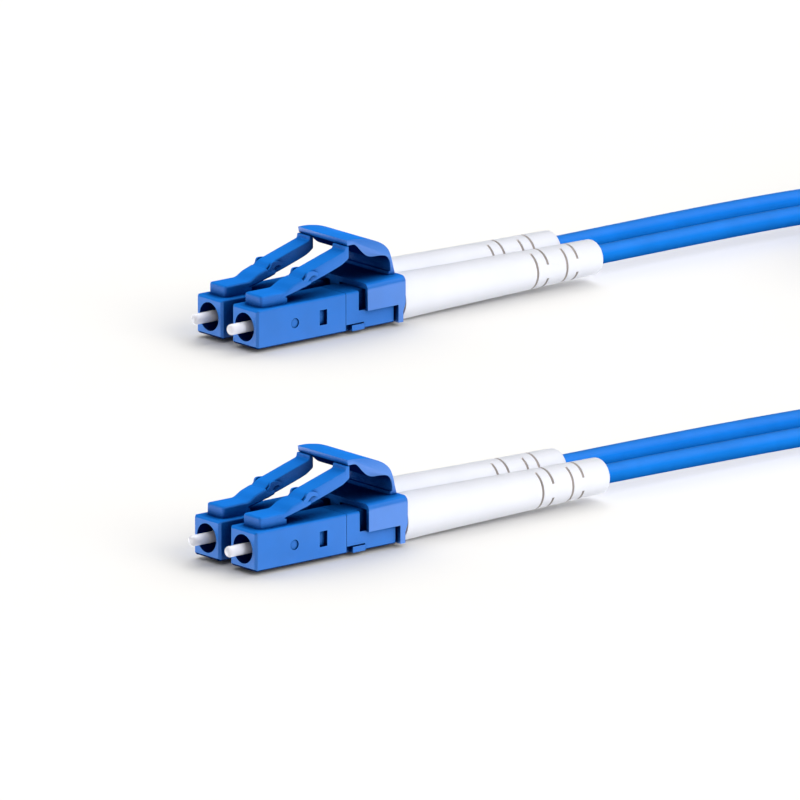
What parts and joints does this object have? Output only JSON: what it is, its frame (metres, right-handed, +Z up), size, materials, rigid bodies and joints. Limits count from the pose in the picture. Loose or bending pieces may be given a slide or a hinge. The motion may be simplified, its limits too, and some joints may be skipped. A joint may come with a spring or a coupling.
{
  "type": "armoured fibre patch cord",
  "caption": "Duplex fibre patch cord with latching plugs at both ends, press-down triggers, slotted bend-relief boots and tied armoured strands.",
  "frame": {"origin": "centre of the box round both connectors, on the floor they lie on", "axes": "+X from the ferrules towards the strands, +Y from the near end to the far end, +Z up"},
  "size_m": [0.2126, 0.0886, 0.0106],
  "materials": {
    "blue_plastic": "satin moulded",
    "white_boot": "satin, slightly soft",
    "zirconia": "polished ceramic",
    "plated_metal": "satin",
    "spring_steel": "bright",
    "blue_jacket": "satin jacket",
    "tie": "ribbed"
  },
  "bodies": {
    "trigger_a": {"trigger_a": "blue_plastic"},
    "trigger_b": {"trigger_b": "blue_plastic"},
    "latch_a1": {"latch_arm_a1": "blue_plastic"},
    "ferrule_a1": {"ferrule_a1": "zirconia", "ferrule_holder_a1": "plated_metal"},
    "latch_a2": {"latch_arm_a2": "blue_plastic"},
    "ferrule_a2": {"ferrule_a2": "zirconia", "ferrule_holder_a2": "plated_metal"},
    "latch_b1": {"latch_arm_b1": "blue_plastic"},
    "ferrule_b1": {"ferrule_b1": "zirconia", "ferrule_holder_b1": "plated_metal"},
    "latch_b2": {"latch_arm_b2": "blue_plastic"},
    "ferrule_b2": {"ferrule_b2": "zirconia", "ferrule_holder_b2": "plated_metal"},
    "cord": {"plug_housing_a1": "blue_plastic", "ferrule_spring_a1": "spring_steel", "rear_body_a1": "blue_plastic", "crimp_sleeve_a1": "plated_metal", "boot_a1": "white_boot", "plug_housing_a2": "blue_plastic", "ferrule_spring_a2": "spring_steel", "rear_body_a2": "blue_plastic", "crimp_sleeve_a2": "plated_metal", "boot_a2": "white_boot", "plug_housing_b1": "blue_plastic", "ferrule_spring_b1": "spring_steel", "rear_body_b1": "blue_plastic", "crimp_sleeve_b1": "plated_metal", "boot_b1": "white_boot", "plug_housing_b2": "blue_plastic", "ferrule_spring_b2": "spring_steel", "rear_body_b2": "blue_plastic", "crimp_sleeve_b2": "plated_metal", "boot_b2": "white_boot", "duplex_clip_a": "blue_plastic", "duplex_clip_b": "blue_plastic", "strand_lead_a1": "blue_jacket", "strand_lead_a2": "blue_jacket", "strand_lead_b1": "blue_jacket", "strand_lead_b2": "blue_jacket", "strand_coil": "blue_jacket", "coil_tie_1": "tie", "coil_tie_2": "tie"}
  },
  "joints": [
    {"name": "trigger_a_hinge", "type": "hinge", "parent": "cord", "child": "trigger_a", "pos_m": [0.02826, 0.03848, 0.00586], "axis": [0, -1, 0], "range_deg": [0, 10], "stiffness_Nm_per_rad": 0.05, "springref_deg": -3.44},
    {"name": "trigger_b_hinge", "type": "hinge", "parent": "cord", "child": "trigger_b", "pos_m": [-0.03556, -0.03848, 0.00586], "axis": [0, -1, 0], "range_deg": [0, 10], "stiffness_Nm_per_rad": 0.05, "springref_deg": -3.44},
    {"name": "latch_a1_hinge", "type": "hinge", "parent": "cord", "child": "latch_a1", "pos_m": [0.01261, 0.03535, 0.00595], "axis": [0, 1, 0], "range_deg": [0, 7]},
    {"name": "ferrule_a1_push", "type": "slide", "parent": "cord", "child": "ferrule_a1", "axis": [1, 0, 0], "range_m": [0, 0.0008], "stiffness_N_per_m": 2000, "springref_m": -0.0025, "deforming": ["ferrule_spring_a1"]},
    {"name": "latch_a2_hinge", "type": "hinge", "parent": "cord", "child": "latch_a2", "pos_m": [0.01261, 0.0416, 0.00595], "axis": [0, 1, 0], "range_deg": [0, 7]},
    {"name": "ferrule_a2_push", "type": "slide", "parent": "cord", "child": "ferrule_a2", "axis": [1, 0, 0], "range_m": [0, 0.0008], "stiffness_N_per_m": 2000, "springref_m": -0.0025, "deforming": ["ferrule_spring_a2"]},
    {"name": "latch_b1_hinge", "type": "hinge", "parent": "cord", "child": "latch_b1", "pos_m": [-0.05121, -0.0416, 0.00595], "axis": [0, 1, 0], "range_deg": [0, 7]},
    {"name": "ferrule_b1_push", "type": "slide", "parent": "cord", "child": "ferrule_b1", "axis": [1, 0, 0], "range_m": [0, 0.0008], "stiffness_N_per_m": 2000, "springref_m": -0.0025, "deforming": ["ferrule_spring_b1"]},
    {"name": "latch_b2_hinge", "type": "hinge", "parent": "cord", "child": "latch_b2", "pos_m": [-0.05121, -0.03535, 0.00595], "axis": [0, 1, 0], "range_deg": [0, 7]},
    {"name": "ferrule_b2_push", "type": "slide", "parent": "cord", "child": "ferrule_b2", "axis": [1, 0, 0], "range_m": [0, 0.0008], "stiffness_N_per_m": 2000, "springref_m": -0.0025, "deforming": ["ferrule_spring_b2"]}
  ],
  "couplings": [
    {"joint": "latch_a1_hinge", "follows": "trigger_a_hinge", "ratio": 0.68},
    {"joint": "latch_a2_hinge", "follows": "trigger_a_hinge", "ratio": 0.68},
    {"joint": "latch_b1_hinge", "follows": "trigger_b_hinge", "ratio": 0.68},
    {"joint": "latch_b2_hinge", "follows": "trigger_b_hinge", "ratio": 0.68}
  ]
}
